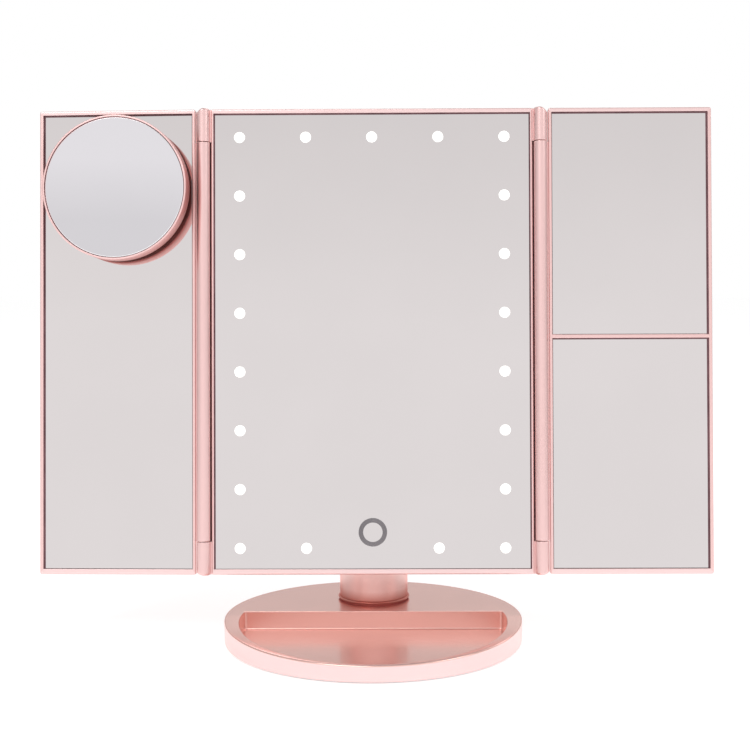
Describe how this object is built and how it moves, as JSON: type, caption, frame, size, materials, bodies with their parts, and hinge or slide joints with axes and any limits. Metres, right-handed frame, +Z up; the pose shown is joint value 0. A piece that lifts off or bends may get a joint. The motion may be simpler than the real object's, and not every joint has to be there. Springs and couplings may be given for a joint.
{
  "type": "trifold vanity mirror",
  "caption": "Tabletop vanity mirror with a lit centre panel, two folding side mirrors, a lift-off round spot mirror and a tilting neck on a round base with a half-moon tray.",
  "frame": {"origin": "on the table, under the centre of the round base", "axes": "+Z up, +X to the viewer's right along the open wings, -Y the way the mirrors face"},
  "size_m": [0.3472, 0.153, 0.2737],
  "materials": {
    "rose_paint": "satin pearl paint on moulded plastic",
    "mirror_glass": "polished",
    "light_window": "frosted, lit",
    "touch_ink": "printed ring",
    "white_plastic": "matt",
    "black_plastic": "matt",
    "circuit_board": "lacquered",
    "led_lamp": "phosphor",
    "steel": "plain",
    "cell_sleeve": "sleeve",
    "wire": "insulated",
    "foam": "foam",
    "soft_rubber": "matt",
    "clear_rubber": "translucent"
  },
  "bodies": {
    "base": {"base_shell": "rose_paint", "base_bottom_cover": "black_plastic", "base_weight": "steel", "base_pad": "soft_rubber", "base_screws": "steel", "neck_collar": "rose_paint", "neck_column": "rose_paint", "neck_screws": "steel"},
    "panel": {"centre_frame": "rose_paint", "centre_mirror": "mirror_glass", "light_windows": "light_window", "touch_ring": "touch_ink", "lamp_plate": "white_plastic", "led_strips": "white_plastic", "leds": "led_lamp", "touch_sensor": "circuit_board", "control_board": "circuit_board", "board_screws": "steel", "usb_socket": "steel", "switch_body": "black_plastic", "wire_ribbons": "wire", "battery_tray": "black_plastic", "battery_contacts": "steel", "battery_springs": "steel", "batteries": "cell_sleeve", "rear_cover": "rose_paint", "rear_cover_screws": "steel", "tilt_bracket": "rose_paint", "bracket_screws": "steel", "tilt_axle": "steel", "axle_nut": "steel", "friction_washers": "soft_rubber", "left_hinge_pins": "steel", "right_hinge_pins": "steel"},
    "power_switch": {"switch_slider": "black_plastic"},
    "battery_cover": {"battery_door": "rose_paint"},
    "left_wing": {"left_wing_frame": "rose_paint", "left_wing_mirror": "mirror_glass", "left_wing_pad": "foam", "left_wing_back": "rose_paint"},
    "right_wing": {"right_wing_frame": "rose_paint", "upper_wing_mirror": "mirror_glass", "lower_wing_mirror": "mirror_glass", "right_wing_pads": "foam", "right_wing_back": "rose_paint"},
    "spot_mirror": {"spot_housing": "rose_paint", "spot_glass": "mirror_glass", "suction_cup": "clear_rubber"}
  },
  "joints": [
    {"name": "panel_tilt", "type": "hinge", "parent": "base", "child": "panel", "pos_m": [0, 0.0385, 0.048], "axis": [1, 0, 0], "range_deg": [-60, 18]},
    {"name": "left_wing_fold", "type": "hinge", "parent": "panel", "child": "left_wing", "pos_m": [-0.087, 0.01345, 0.15414], "axis": [0, 0.1219, 0.9925], "range_deg": [-5, 100]},
    {"name": "right_wing_fold", "type": "hinge", "parent": "panel", "child": "right_wing", "pos_m": [0.087, 0.01345, 0.15414], "axis": [0, -0.1219, -0.9925], "range_deg": [-10, 180]},
    {"name": "spot_mirror_lift", "type": "slide", "parent": "left_wing", "child": "spot_mirror", "axis": [-0.0523, -0.9912, 0.1217], "range_m": [0, 0.02]},
    {"name": "switch_slide", "type": "slide", "parent": "panel", "child": "power_switch", "axis": [1, 0, 0], "range_m": [0, 0.003]},
    {"name": "cell_door_slide", "type": "slide", "parent": "panel", "child": "battery_cover", "axis": [0, 0.1219, 0.9925], "range_m": [0, 0.06]}
  ]
}
